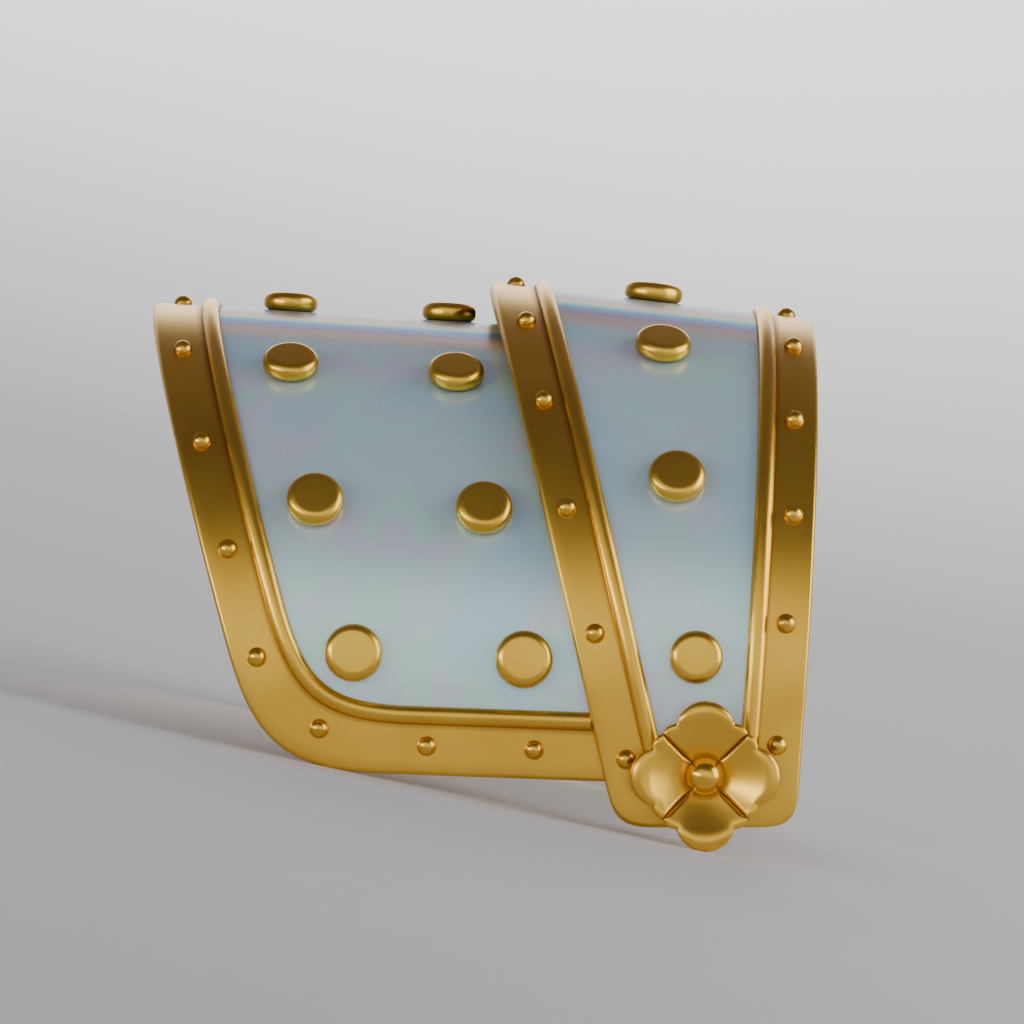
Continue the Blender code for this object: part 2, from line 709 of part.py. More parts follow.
# Rosettes, balls and pins, front and back, on the pins' axis
pin_run = inner.quarter + INNER_SPRING_HEIGHT
face_height = 2 * SEAT_GAP + BEAD_HEIGHT + ROSETTE_LEAF
for side in ("front", "back"):
    is_back = side == "back"
    flower = rosette(f"rosette_{side}", parts)
    flower.matrix_world = standing_on(inner, 0.0, pin_run, 0.0, is_back)
    ball = boss(f"rosette_boss_{side}", parts)
    ball.matrix_world = standing_on(inner, 0.0, pin_run, face_height + SEAT_GAP + BOSS_SINK, is_back)
    pin = turned(f"pin_{side}", pin_profile(), PIN_STEPS, STEEL, parts)
    pin.matrix_world = standing_on(inner, 0.0, pin_run, 0.0, is_back)

# Set the guard down: the empty carries every piece, and cutters too
stand = bpy.data.objects.new("stand", None)
bpy.context.scene.collection.objects.link(stand)
for piece in [*parts.objects, *helpers.objects]:
    piece.parent = stand
arm_feet = world_points([outer_trim])
neck_feet = world_points([parts.objects["rosette_front"], inner_trim])
stand.rotation_euler.y = resting_tilt(arm_feet, neck_feet)
corners = world_points(parts.objects)
low, high = corners.min(axis=0), corners.max(axis=0)
stand.location = (-(low[0] + high[0]) / 2, -(low[1] + high[1]) / 2, -low[2])
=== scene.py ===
import json
import math

import bmesh
import bpy
import numpy as np
from mathutils import Matrix, Vector


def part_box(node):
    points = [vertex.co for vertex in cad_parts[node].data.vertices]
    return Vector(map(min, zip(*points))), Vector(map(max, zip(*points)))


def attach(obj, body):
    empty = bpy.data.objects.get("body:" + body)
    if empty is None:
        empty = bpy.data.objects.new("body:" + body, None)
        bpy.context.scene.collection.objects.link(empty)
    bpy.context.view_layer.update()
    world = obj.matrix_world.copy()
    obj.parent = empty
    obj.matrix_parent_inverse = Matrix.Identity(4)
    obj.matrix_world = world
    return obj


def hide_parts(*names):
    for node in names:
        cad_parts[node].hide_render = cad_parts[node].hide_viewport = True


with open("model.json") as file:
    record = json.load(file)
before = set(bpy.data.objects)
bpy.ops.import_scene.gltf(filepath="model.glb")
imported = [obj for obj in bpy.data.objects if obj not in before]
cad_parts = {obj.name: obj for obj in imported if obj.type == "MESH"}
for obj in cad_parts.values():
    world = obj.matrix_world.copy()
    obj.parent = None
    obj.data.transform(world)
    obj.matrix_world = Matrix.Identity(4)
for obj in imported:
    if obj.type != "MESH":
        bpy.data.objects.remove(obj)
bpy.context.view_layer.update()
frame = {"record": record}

# How the guard stands. Every piece is made as it is worn, with the axis of the two pins as its origin, X
# towards the neck and Y towards the back. One turn about that axis and one move then set it down on its
# four feet.
SEAT_FROM_PIN = Vector((-0.060, 0.0, 0.006))

pin_low, pin_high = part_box("pin_front")
pin_axis = Vector(((pin_low.x + pin_high.x) / 2, 0.0, (pin_low.z + pin_high.z) / 2))
strap_seat = next(m for m in frame["record"]["mounts"] if m["name"] == "strap_seat_front")
seat = Vector(strap_seat["pos_m"]) - pin_axis
lean = math.atan2(seat.z, -seat.x) - math.atan2(SEAT_FROM_PIN.z, -SEAT_FROM_PIN.x)
set_down = Matrix.Translation(pin_axis) @ Matrix.Rotation(lean, 4, "Y")

# The outer plate's panel: sheet metal rolled over a former, half an elliptic arch on two straight legs. Its
# face is lacquered like mother-of-pearl and its inside is bare. Its edges are let into the gilt border, under
# the bead.
WALL = 0.004
SEAT_GAP = 0.0003
INNER_HALF_DEPTH = 0.113
INNER_RISE = 0.1089
INNER_RIDGE_FALL = math.radians(6.6)
INNER_SPRING_HEIGHT = 0.0218
INNER_ARM_EDGE = -0.0271
INNER_ARM_LEAN = math.radians(12.6)
INNER_NECK_EDGE = 0.0258
INNER_NECK_LEAN = math.radians(-4.1)
SPRING_DROP = 0.003
OUTER_SPRING_FALL = math.radians(2.1)
OUTER_RIDGE_FALL = math.radians(3.6)
LAP_GAP = 0.0037
NECK_SETBACK = 0.012
OUTER_ARM_EDGE = -0.1195
OUTER_ARM_LEAN = math.radians(15.1)
OUTER_BORDER = 0.0154
OUTER_FOOT_BORDER = 0.0162
OUTER_FOOT_DROP = 0.0031
OUTER_PANEL_CORNER = 0.029
JOINT_GAP = 0.0003
CORNER_FULLNESS = 0.8
ARCH_STEPS = 80
CORNER_STEPS = 22
PANEL_ACROSS = 20
SMOOTH_UP_TO = math.radians(40)
RUN_SAMPLES = 1441


class Former:
    """The arch that a plate is rolled over. A place on it is an x and a run, the distance from the ridge
    down the face, which counts backwards in front."""

    def __init__(self, half_depth, rise, ridge_fall, spring_height, spring_fall):
        self.half_depth = half_depth
        self.rise = rise
        self.rise_slope = math.tan(spring_fall) - math.tan(ridge_fall)
        self.spring_height = spring_height
        self.spring_slope = -math.tan(spring_fall)
        self.angles = np.linspace(0.0, math.pi / 2, RUN_SAMPLES)
        across = np.diff(half_depth * np.sin(self.angles))
        down = np.diff(rise * np.cos(self.angles))
        self.runs = np.concatenate([[0.0], np.cumsum(np.hypot(across, down))])
        self.quarter = float(self.runs[-1])

    def run_at(self, degrees):
        return float(np.interp(math.radians(degrees), self.angles, self.runs))

    def heights(self, run):
        """The height of the face at each run, as a constant and a slope along x."""
        share = np.cos(np.interp(np.abs(run), self.runs, self.angles))
        leg = np.maximum(np.abs(run) - self.quarter, 0.0)
        return self.spring_height + self.rise * share - leg, self.spring_slope + self.rise_slope * share

    def rolled(self, spots):
        """Flat places, as x, run and lift off the face, rolled over the arch: points and outward ways."""
        x, run, lift = np.asarray(spots, float).reshape(-1, 3).T
        side = np.where(run < 0.0, -1.0, 1.0)
        angle = np.interp(np.abs(run), self.runs, self.angles)
        height, slope = self.heights(run)
        level = self.half_depth * np.cos(angle)
        climb = (self.rise + self.rise_slope * x) * np.sin(angle)
        out = np.stack([-slope * level, side * climb, level], axis=1)
        out /= np.linalg.norm(out, axis=1)[:, None]
        face = np.stack([x, side * self.half_depth * np.sin(angle), height + slope * x], axis=1)
        return face + out * lift[:, None], out

    def edge_x(self, run, edge, lean_back):
        """Where a plate edge, cut as a plane that leans from upright, crosses each run."""
        height, slope = self.heights(run)
        return (edge - math.tan(lean_back) * height) / (1.0 + math.tan(lean_back) * slope)

    def stance(self, x, run, lift=0.0):
        """Where a piece stands on the face, with its own Z outwards."""
        points, outs = self.rolled([(x, run, lift)])
        out = Vector(outs[0])
        up = out.cross(Vector((1.0, 0.0, 0.0))).normalized()
        turn = Matrix((up.cross(out), up, out)).transposed().to_4x4()
        return Matrix.Translation(points[0]) @ turn


def plate_side(former, edge, lean_back, foot, reach, inward):
    """One side of a plate, with round corners, from its front foot line over the ridge to the back one."""
    straight = foot - reach
    runs = np.linspace(0.0, straight, ARCH_STEPS + 1)
    arm = np.stack([former.edge_x(runs, edge, lean_back), runs], axis=1)
    corner = np.array([former.edge_x(foot, edge, lean_back), foot])
    end = corner + (inward * reach, 0.0)
    first = arm[-1] + (corner - arm[-1]) * CORNER_FULLNESS
    second = end + (corner - end) * CORNER_FULLNESS
    t = np.linspace(0.0, 1.0, CORNER_STEPS + 1)[1:, None]
    s = 1.0 - t
    bend = arm[-1] * s**3 + first * (3 * s * s * t) + second * (3 * s * t * t) + end * t**3
    back = np.concatenate([arm, bend])
    return np.concatenate([back[:0:-1] * (1.0, -1.0), back])


def beside(line, distance):
    """The line moved sideways in the flat, to its right as it runs."""
    along = np.gradient(line, axis=0)
    along /= np.linalg.norm(along, axis=1)[:, None]
    return line + np.stack([along[:, 1], -along[:, 0]], axis=1) * distance


def rolled_sheet(former, near, far, across, stripes_from):
    """A sheet between two lines, woven flat and then rolled over the former. It keeps how far each place lies
    past the run where its painted sheen stripes start."""
    bm = bmesh.new()
    rows = len(near) - 1
    bmesh.ops.create_grid(bm, x_segments=across, y_segments=rows, size=0.5)
    past_start = bm.verts.layers.float.new("past_start")
    spots = []
    for vert in bm.verts:
        row = round((vert.co.y + 0.5) * rows)
        x, run = near[row] + (far[row] - near[row]) * (vert.co.x + 0.5)
        spots.append((x, run, 0.0))
        vert[past_start] = abs(run) - stripes_from
    for vert, point in zip(bm.verts, former.rolled(spots)[0]):
        vert.co = point
    return bm


def finished(bm, name, finishes, slot, *nodes):
    """Sets a piece down on the stand, with its finishes and the solids that it stands for. Its slot is not
    used.
    """
    mesh = bpy.data.meshes.new(name)
    bm.to_mesh(mesh)
    bm.free()
    mesh.transform(set_down)
    mesh.shade_smooth()
    mesh.set_sharp_from_angle(angle=SMOOTH_UP_TO)
    for finish in finishes:
        mesh.materials.append(finish)
    piece = bpy.data.objects.new(name, mesh)
    bpy.context.scene.collection.objects.link(piece)
    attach(piece, "root")
    if nodes:
        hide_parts(*nodes)
    return piece


class Wire:
    """A socket in a finish. Sums on it add Math nodes, and node() adds any other kind."""

    def __init__(self, tree, socket=None):
        self.tree = tree
        self.socket = socket

    def node(self, kind, settings, values, output=0):
        made = self.tree.nodes.new(kind)
        for name, value in settings.items():
            if name == "stops":
                ramp = made.color_ramp.elements
                while len(ramp) < len(value):
                    ramp.new(1.0)
                for element, (position, colour) in zip(ramp, value):
                    element.position = position
                    element.color = (*colour, 1.0)
            else:
                setattr(made, name, value)
        for name, value in values.items():
            if isinstance(value, Wire):
                self.tree.links.new(value.socket, made.inputs[name])
            else:
                made.inputs[name].default_value = value
        return Wire(self.tree, made.outputs[output])

    def maths(self, operation, first, second):
        return self.node("ShaderNodeMath", {"operation": operation}, {0: first, 1: second})

    def between(self, first, second):
        """A colour from first to second as this value goes from 0 to 1."""
        return self.node("ShaderNodeMix", {"data_type": "RGBA"}, {0: self, 6: first, 7: second}, 2)

    def eased(self, low, high):
        """0 below low, 1 above high and smooth between them."""
        values = {"Value": self, "From Min": low, "From Max": high}
        return self.node("ShaderNodeMapRange", {"interpolation_type": "SMOOTHSTEP"}, values)

    def __add__(self, other):
        return self.maths("ADD", self, other)

    def __radd__(self, other):
        return self.maths("ADD", other, self)

    def __sub__(self, other):
        return self.maths("SUBTRACT", self, other)

    def __rsub__(self, other):
        return self.maths("SUBTRACT", other, self)

    def __mul__(self, other):
        return self.maths("MULTIPLY", self, other)


def new_finish(name, constants):
    """A material with these constants on its shader: it, its shader and a Wire on Object coordinates."""
    finish = bpy.data.materials.new(name)
    finish.use_nodes = True
    tree = finish.node_tree
    shader = tree.nodes["Principled BSDF"]
    for socket, value in constants.items():
        shader.inputs[socket].default_value = value
    place = Wire(tree).node("ShaderNodeTexCoord", {}, {}, "Object")
    return finish, shader, place


def fed(shader, socket, wire):
    wire.tree.links.new(wire.socket, shader.inputs[socket])


def noise(place, scale, detail=2.0, distortion=0.0):
    values = {"Vector": place, "Scale": scale, "Detail": detail, "Distortion": distortion}
    return place.node("ShaderNodeTexNoise", {}, values)


# Painted iridescent sheen: rainbow stripes of colour along the ridge, each colour at this distance past the
# run where the stripes start.
PEARL_SHEEN_STRIPES = {
    "pale": {"past": 0.0028, "colour": (0.60, 0.68, 0.66)},
    "aqua": {"past": 0.0045, "colour": (0.46, 0.64, 0.61)},
    "violet": {"past": 0.0085, "colour": (0.55, 0.37, 0.66)},
    "rose": {"past": 0.0105, "colour": (0.71, 0.44, 0.50)},
    "straw": {"past": 0.0122, "colour": (0.70, 0.61, 0.33)},
    "green": {"past": 0.0145, "colour": (0.43, 0.63, 0.48)},
    "cyan": {"past": 0.0165, "colour": (0.20, 0.54, 0.67)},
    "blue": {"past": 0.0188, "colour": (0.17, 0.34, 0.67)},
    "mauve": {"past": 0.0238, "colour": (0.50, 0.41, 0.54)},
    "beige": {"past": 0.0270, "colour": (0.80, 0.67, 0.60)},
    "cream": {"past": 0.0305, "colour": (0.93, 0.82, 0.69)},
}
OUTER_STRIPES_FROM = 0.013
INNER_STRIPES_FROM = 0.0173
STRIPES_FADE_IN = (-0.004, 0.003)
STRIPES_FADE_OUT = (0.027, 0.037)
PEARL_METALLIC = 0.45
STRIPES_METALLIC = 0.40


def pearl_lacquer():
    """Pale blue-grey pearl with soft clouds of mauve, green and sky, and painted iridescent sheen as rainbow
    stripes along the ridge.
    """
    grey = (0.59, 0.80, 0.84, 1.0)
    mauve = (0.66, 0.745, 0.85, 1.0)
    green = (0.565, 0.84, 0.81, 1.0)
    sky = (0.525, 0.78, 0.89, 1.0)
    constants = {"Specular IOR Level": 0.4, "Specular Tint": (0.48, 0.48, 0.48, 1.0)}
    finish, shader, place = new_finish("pearl_lacquer", constants)
    clouds = noise(place, 21.0, 1.5, 1.1)
    drift = noise(place, 34.0, 1.0, 1.6)
    reach = noise(place, 15.0, 1.0, 1.2)
    first = clouds.eased(0.44, 0.60).between(grey, mauve)
    second = drift.eased(0.48, 0.62).between(first, green)
    third = reach.eased(0.50, 0.66).between(second, sky)
    past_start = place.node("ShaderNodeAttribute", {"attribute_name": "past_start"}, {}, "Fac")
    last = PEARL_SHEEN_STRIPES["cream"]["past"]
    stops = [(stripe["past"] / last, stripe["colour"]) for stripe in PEARL_SHEEN_STRIPES.values()]
    # The painted sheen stripes fade in and out across their band, where the lacquer is also more metallic.
    painted_sheen = place.node("ShaderNodeValToRGB", {"stops": stops}, {0: past_start * (1.0 / last)})
    sheen_share = past_start.eased(*STRIPES_FADE_IN) * (1.0 - past_start.eased(*STRIPES_FADE_OUT))
    fed(shader, "Base Color", sheen_share.between(third, painted_sheen))
    fed(shader, "Metallic", PEARL_METALLIC + sheen_share * STRIPES_METALLIC)
    fed(shader, "Roughness", 0.24 + drift * 0.08)
    return finish


def bare_metal():
    """The inside of the plates: bare brass, brushed along the arch and dulled by handling."""
    dull = (0.30, 0.21, 0.09, 1.0)
    clean = (0.46, 0.34, 0.16, 1.0)
    finish, shader, place = new_finish("bare_brass", {"Metallic": 1.0})
    grain = place.node("ShaderNodeMapping", {}, {"Vector": place, "Scale": (900.0, 40.0, 40.0)})
    brushed = noise(grain, 1.0, 3.0)
    patches = noise(place, 40.0, 4.0, 0.6)
    fed(shader, "Base Color", patches.eased(0.35, 0.65).between(dull, clean))
    fed(shader, "Roughness", 0.42 + brushed * 0.22)
    ridges = {"Strength": 0.25, "Distance": 0.0002, "Height": brushed}
    bump = place.node("ShaderNodeBump", {}, ridges, "Normal")
    fed(shader, "Normal", bump)
    return finish


def walled(piece):
    """Gives a sheet its wall, on its inner side, in the second of its finishes."""
    wall = piece.modifiers.new("wall", "SOLIDIFY")
    wall.thickness = WALL
    wall.offset = -1.0
    wall.use_even_offset = True
    wall.material_offset = 1
    wall.material_offset_rim = 1


inner = Former(INNER_HALF_DEPTH, INNER_RISE, INNER_RIDGE_FALL, INNER_SPRING_HEIGHT, 0.0)
hidden_edge = INNER_NECK_EDGE - NECK_SETBACK
ridge_end = float(inner.edge_x(0.0, hidden_edge, INNER_NECK_LEAN))
ridge_height = inner.rolled([(ridge_end, 0.0, 0.0)])[0][0][2] - WALL - LAP_GAP
outer_spring = INNER_SPRING_HEIGHT - SPRING_DROP
outer_rise = ridge_height + ridge_end * math.tan(OUTER_RIDGE_FALL) - outer_spring
outer_half_depth = INNER_HALF_DEPTH - WALL - SEAT_GAP
outer = Former(outer_half_depth, outer_rise, OUTER_RIDGE_FALL, outer_spring, OUTER_SPRING_FALL)

outer_foot = outer.quarter + outer_spring + OUTER_FOOT_DROP
outer_panel_foot = outer_foot - OUTER_FOOT_BORDER
outer_line = OUTER_ARM_EDGE + OUTER_BORDER / math.cos(OUTER_ARM_LEAN)
outer_joint = plate_side(outer, outer_line, OUTER_ARM_LEAN, outer_panel_foot, OUTER_PANEL_CORNER, 1)
pearl = pearl_lacquer()
brass = bare_metal()


def to_hidden_edge(line):
    """The line's rows carried on under the inner plate, to the outer plate's hidden edge."""
    return np.stack([outer.edge_x(line[:, 1], hidden_edge, INNER_NECK_LEAN), line[:, 1]], axis=1)


outer_arm_side = beside(outer_joint, JOINT_GAP / 2)
outer_hidden_side = to_hidden_edge(outer_arm_side)
outer_sheet = rolled_sheet(outer, outer_arm_side, outer_hidden_side, 2 * PANEL_ACROSS, OUTER_STRIPES_FROM)
walled(finished(outer_sheet, "outer_pearl", (pearl, brass), "pearl_panel", "outer_plate"))

# The outer plate's border: a flat gilt band round its arm edge and feet, cast with a rounded rim. It runs on
# under the inner plate, where a short ear at each foot takes the pin.
OUTER_CORNER = 0.034
EAR_DROP = 0.005
EAR_REACH = 0.020
EAR_SLOPE = 0.008
EAR_STEPS = 12
BEAD_WIDTH = 0.0049
BEAD_HEIGHT = 0.0021
RIM_ROUNDING = 0.0013
RIM_STEPS = 6
CREASE_SHADE_WIDTH = 0.0016
SAME_PLACE = 1e-6


def band_profile():
    """A band's closed section. Each point is a share of its width, a reach on, a lift and its share of
    painted crease shade.
    """
    half_bead = BEAD_WIDTH / 2
    # Painted shade along the crease beside the bead, fading out across the band.
    outside = [(1.0, 0.0, 0.0, 1.0), (1.0, -half_bead, 0.0, 1.0)]
    outside += [(1.0, -half_bead - CREASE_SHADE_WIDTH, 0.0, 0.0)]
    outside += [(0.5, 0.0, 0.0, 0.0), (0.25, 0.0, 0.0, 0.0)]
    for step in range(RIM_STEPS + 1):
        turn = math.pi / 2 * step / RIM_STEPS
        reach = RIM_ROUNDING * (1.0 - math.sin(turn))
        outside.append((0.0, reach, RIM_ROUNDING * (math.cos(turn) - 1.0), 0.0))
    inside = [(share, reach, -WALL - lift, 0.0) for share, reach, lift, _ in reversed(outside)]
    return outside + inside


def moulding(former, near, far, profile):
    """A solid strip between two lines, woven flat from its closed section and then rolled over the former."""
    bm = bmesh.new()
    rows = len(near) - 1
    columns = len(profile)
    bmesh.ops.create_grid(bm, x_segments=columns, y_segments=rows, size=0.5)
    # Each point carries its share of painted crease shade into the mesh.
    contact = bm.verts.layers.float.new("contact")
    spots = []
    for vert in bm.verts:
        row = round((vert.co.y + 0.5) * rows)
        share, reach, lift, shade_amount = profile[round((vert.co.x + 0.5) * columns) % columns]
        across = far[row] - near[row]
        x, run = near[row] + across * (share + reach / np.linalg.norm(across))
        spots.append((x, run, lift))
        vert[contact] = shade_amount
    for vert, point in zip(bm.verts, former.rolled(spots)[0]):
        vert.co = point
    bmesh.ops.remove_doubles(bm, verts=bm.verts[:], dist=SAME_PLACE)
    bmesh.ops.holes_fill(bm, edges=bm.edges[:], sides=columns)
    bmesh.ops.recalc_face_normals(bm, faces=bm.faces[:])
    return bm


# How far the painted crease shade darkens the gilding, and how much rougher the gilding is there.
CREASE_SHADE_STRENGTH = 0.75
CREASE_ROUGHNESS = 0.12


def gilding(name, roughness):
    """Satin gilding over cast metal: a little cloudy, and duller where two pieces meet, with painted shade
    there that makes it warmer and darker.
    """
    gold = (0.80, 0.50, 0.062, 1.0)
    deep = (0.76, 0.45, 0.054, 1.0)
    crease_shade_colour = (0.27, 0.105, 0.018, 1.0)
    finish, shader, place = new_finish(name, {"Metallic": 1.0})
    clouds = noise(place, 40.0, 3.0, 0.3)
    skin = noise(place, 700.0, 2.0)
    shade_amount = place.node("ShaderNodeAttribute", {"attribute_name": "contact"}, {}, "Fac")
    surface = clouds.eased(0.35, 0.65).between(deep, gold)
    uneven = roughness + (clouds - 0.5) * 0.08 + (skin - 0.5) * 0.05
    # Painted shade: the gilding turns dark orange-brown where two pieces meet.
    fed(shader, "Base Color", (shade_amount * CREASE_SHADE_STRENGTH).between(surface, crease_shade_colour))
    fed(shader, "Roughness", uneven + shade_amount * CREASE_ROUGHNESS)
    return finish


def foot_line(foot, dropped):
    """The hidden end of the outer plate's foot, from corner to hidden edge, with or without the ear."""
    shares = np.linspace(0.0, 1.0, EAR_STEPS + 1)
    drop = dropped * EAR_DROP * shares * shares * (3.0 - 2.0 * shares)
    slope = np.stack([-EAR_REACH + EAR_SLOPE * shares, foot + drop], axis=1)
    last_run = foot + dropped * EAR_DROP
    last = np.array([[outer.edge_x(last_run, hidden_edge, INNER_NECK_LEAN), last_run]])
    return np.concatenate([slope, last])


def with_ends(line, tail):
    """A plate side with its tail carried on at both feet."""
    return np.concatenate([tail[::-1] * (1.0, -1.0), line, tail])


border_gilt = gilding("border_gilt", 0.31)
outer_rim = plate_side(outer, OUTER_ARM_EDGE, OUTER_ARM_LEAN, outer_foot, OUTER_CORNER, 1)
outer_rim = with_ends(outer_rim, foot_line(outer_foot, 1.0))
outer_inside = with_ends(outer_joint, foot_line(outer_panel_foot, 0.0))
outer_band = moulding(outer, outer_rim, beside(outer_inside, -JOINT_GAP / 2), band_profile())
finished(outer_band, "outer_border", (border_gilt,), "gilt_border", "outer_trim")

# The outer plate's bead: half-round gilt wire that covers the joint between border and panel. It stops
# against the inner plate's edge.
BEAD_SIDES = 14
BEAD_SHADE_REACH = 0.35


def bead_profile():
    """A half-round on a low upright foot, so that it meets the plate in a fine crease."""
    section = [(0.0, 0.0, 0.0, 1.0)]
    for step in range(BEAD_SIDES + 1):
        turn = math.pi * step / BEAD_SIDES
        # Painted shade on the bead's lower flanks and foot, where it meets the plate.
        low = max(0.0, 1.0 - math.sin(turn) / BEAD_SHADE_REACH)
        reach = BEAD_WIDTH / 2 * (1.0 - math.cos(turn))
        section.append((0.0, reach, SEAT_GAP + BEAD_HEIGHT * math.sin(turn), low))
    return section + [(1.0, 0.0, 0.0, 1.0)]


def inner_run_beside(run):
    """The inner plate's run at the height of this run on the outer plate's leg."""
    height, slope = outer.heights(run)
    return inner.quarter + INNER_SPRING_HEIGHT - (float(height) + float(slope) * INNER_ARM_EDGE)


def bead_stop_x(run):
    beside_run = inner_run_beside(run)
    return float(inner.edge_x(beside_run, INNER_ARM_EDGE, INNER_ARM_LEAN)) - JOINT_GAP


bead_gilt = gilding("bead_gilt", 0.30)
outer_tail = np.array([[bead_stop_x(outer_panel_foot), outer_panel_foot]])
bead_line = with_ends(outer_joint, outer_tail)
bead_near = beside(bead_line, -BEAD_WIDTH / 2)
bead_far = beside(bead_line, BEAD_WIDTH / 2)
outer_wire = moulding(outer, bead_near, bead_far, bead_profile())
finished(outer_wire, "outer_bead_wire", (bead_gilt,), "gilt_bead", "outer_bead")

# The inner plate's panel: the same lacquered sheet with its bare inside, rolled over a slightly larger
# former, so that it laps over the outer plate. It narrows towards both feet.
INNER_BORDER = 0.0142
INNER_FOOT_BORDER = 0.0223
INNER_FOOT_DROP = 0.0142
INNER_PANEL_CORNER = 0.004

inner_foot = inner.quarter + INNER_SPRING_HEIGHT + INNER_FOOT_DROP
inner_panel_foot = inner_foot - INNER_FOOT_BORDER
arm_line = INNER_ARM_EDGE + INNER_BORDER / math.cos(INNER_ARM_LEAN)
neck_line = INNER_NECK_EDGE - INNER_BORDER / math.cos(INNER_NECK_LEAN)
arm_joint = plate_side(inner, arm_line, INNER_ARM_LEAN, inner_panel_foot, INNER_PANEL_CORNER, 1)
neck_joint = plate_side(inner, neck_line, INNER_NECK_LEAN, inner_panel_foot, INNER_PANEL_CORNER, -1)
inner_arm_side = beside(arm_joint, JOINT_GAP / 2)
inner_neck_side = beside(neck_joint, -JOINT_GAP / 2)
inner_sheet = rolled_sheet(inner, inner_arm_side, inner_neck_side, PANEL_ACROSS, INNER_STRIPES_FROM)
walled(finished(inner_sheet, "inner_pearl", (pearl, brass), "pearl_panel", "inner_plate"))

# The inner plate's border: one closed gilt loop over the arch, with a rounded rim. It is broader at each
# foot, where the rosette covers it.
INNER_CORNER = 0.0105

arm_rim = plate_side(inner, INNER_ARM_EDGE, INNER_ARM_LEAN, inner_foot, INNER_CORNER, 1)
neck_rim = plate_side(inner, INNER_NECK_EDGE, INNER_NECK_LEAN, inner_foot, INNER_CORNER, -1)


def loop(arm, neck):
    """Up the arm side and down the neck side, back to the first point."""
    return np.concatenate([arm, neck[::-1], arm[:1]])


arm_inside = beside(arm_joint, -JOINT_GAP / 2)
neck_inside = beside(neck_joint, JOINT_GAP / 2)
inner_band = moulding(inner, loop(arm_rim, neck_rim), loop(arm_inside, neck_inside), band_profile())
finished(inner_band, "inner_border", (border_gilt,), "gilt_border", "inner_trim")

# The inner plate's two beads: the same half-round gilt wire along each side of the panel. They cover the
# joints between panel and border, and their ends go under the rosettes.
BEAD_STOP = 0.0047


def bead_on_side(line, edge, lean_back):
    """The straight part of a joint line, carried on to the bead's two ends."""
    stop = inner.quarter + INNER_SPRING_HEIGHT - BEAD_STOP
    straight = line[np.abs(line[:, 1]) <= inner_panel_foot - INNER_PANEL_CORNER + 1e-9]
    tail = np.array([[float(inner.edge_x(stop, edge, lean_back)), stop]])
    centre = with_ends(straight, tail)
    half = BEAD_WIDTH / 2
    return moulding(inner, beside(centre, -half), beside(centre, half), bead_profile())


for side, joint_line, edge, lean_back in (
    ("arm", arm_joint, arm_line, INNER_ARM_LEAN),
    ("neck", neck_joint, neck_line, INNER_NECK_LEAN),
):
    wire = bead_on_side(joint_line, edge, lean_back)
    finished(wire, f"inner_bead_{side}_wire", (bead_gilt,), "gilt_bead", f"inner_bead_{side}")

# The rivets: small gilt balls sunk to their middles along both borders, cast in one with them. Each row
# follows its border from the ridge down to both feet, a little nearer to the bead than to the rim.
RIVET_RADIUS = 0.0027
RIVET_PITCH = 0.029
RIVET_FIRST = 0.0188
FOOT_RIVETS = 3
FOOT_RIVET_SHARE = 0.58
ARM_FOOT_RIVET_HEIGHT = 0.0042
NECK_FOOT_RIVET_HEIGHT = 0.008
OUTER_RIVET_ROWS = (
    {"angle": 0.0, "share": 0.56},
    {"angle": 30.4, "share": 0.517},
    {"angle": 51.6, "share": 0.517},
    {"angle": 69.6, "share": 0.53},
    {"angle": 85.5, "share": 0.555},
)
INNER_ARM_RIVET_ROWS = (
    {"angle": 0.0, "share": 0.585},
    {"angle": 26.3, "share": 0.60},
    {"angle": 45.6, "share": 0.566},
    {"angle": 63.8, "share": 0.525},
    {"angle": 81.7, "share": 0.515},
)
INNER_NECK_RIVET_ROWS = (
    {"angle": 0.0, "share": 0.58},
    {"angle": 25.6, "share": 0.567},
    {"angle": 45.5, "share": 0.562},
    {"angle": 63.0, "share": 0.528},
    {"angle": 79.8, "share": 0.567},
)
RIVET_STEPS = 28
RIVET_SHADE_REACH = 0.3


def both_sides(x, run):
    """A place in front and its twin behind, or the one place on the ridge."""
    return [(x, run)] if run == 0.0 else [(x, -run), (x, run)]


def rivets(former, spots):
    bm = bmesh.new()
    contact = bm.verts.layers.float.new("contact")
    for x, run in spots:
        place = former.stance(x, run)
        ball = bmesh.ops.create_uvsphere(
            bm, u_segments=RIVET_STEPS, v_segments=RIVET_STEPS // 2, radius=RIVET_RADIUS, matrix=place
        )
        for vert in ball["verts"]:
            # Painted shade on the lower part of each ball, where it meets the border.
            height = (place.inverted() @ vert.co).z / RIVET_RADIUS
            vert[contact] = min(max(1.0 - height / RIVET_SHADE_REACH, 0.0), 1.0)
    return bm


def along_border(former, run, share, rim_edge, joint_edge, lean_back):
    """Places on a border at this run in front and behind, this share of the way from its rim to its bead."""
    crease = joint_edge - math.copysign(BEAD_WIDTH / 2 / math.cos(lean_back), joint_edge - rim_edge)
    edge = rim_edge + (crease - rim_edge) * share
    return both_sides(float(former.edge_x(run, edge, lean_back)), run)


rivet_gilt = gilding("rivet_gilt", 0.26)
outer_spots = []
for row in OUTER_RIVET_ROWS:
    run = outer.run_at(row["angle"])
    outer_spots += along_border(outer, run, row["share"], OUTER_ARM_EDGE, outer_line, OUTER_ARM_LEAN)
back_half = len(outer_rim) // 2
rim_back = outer_rim[back_half:]
crease_back = bead_near[len(bead_near) // 2:]
for count in range(FOOT_RIVETS):
    rivet_x = bead_stop_x(outer_foot) - RIVET_FIRST - RIVET_PITCH * count
    rim_run = np.interp(rivet_x, rim_back[:, 0], rim_back[:, 1])
    crease_run = np.interp(rivet_x, crease_back[:, 0], crease_back[:, 1])
    outer_spots += both_sides(rivet_x, float(rim_run + (crease_run - rim_run) * FOOT_RIVET_SHARE))
finished(rivets(outer, outer_spots), "outer_rivets", (rivet_gilt,), "gilt_border")

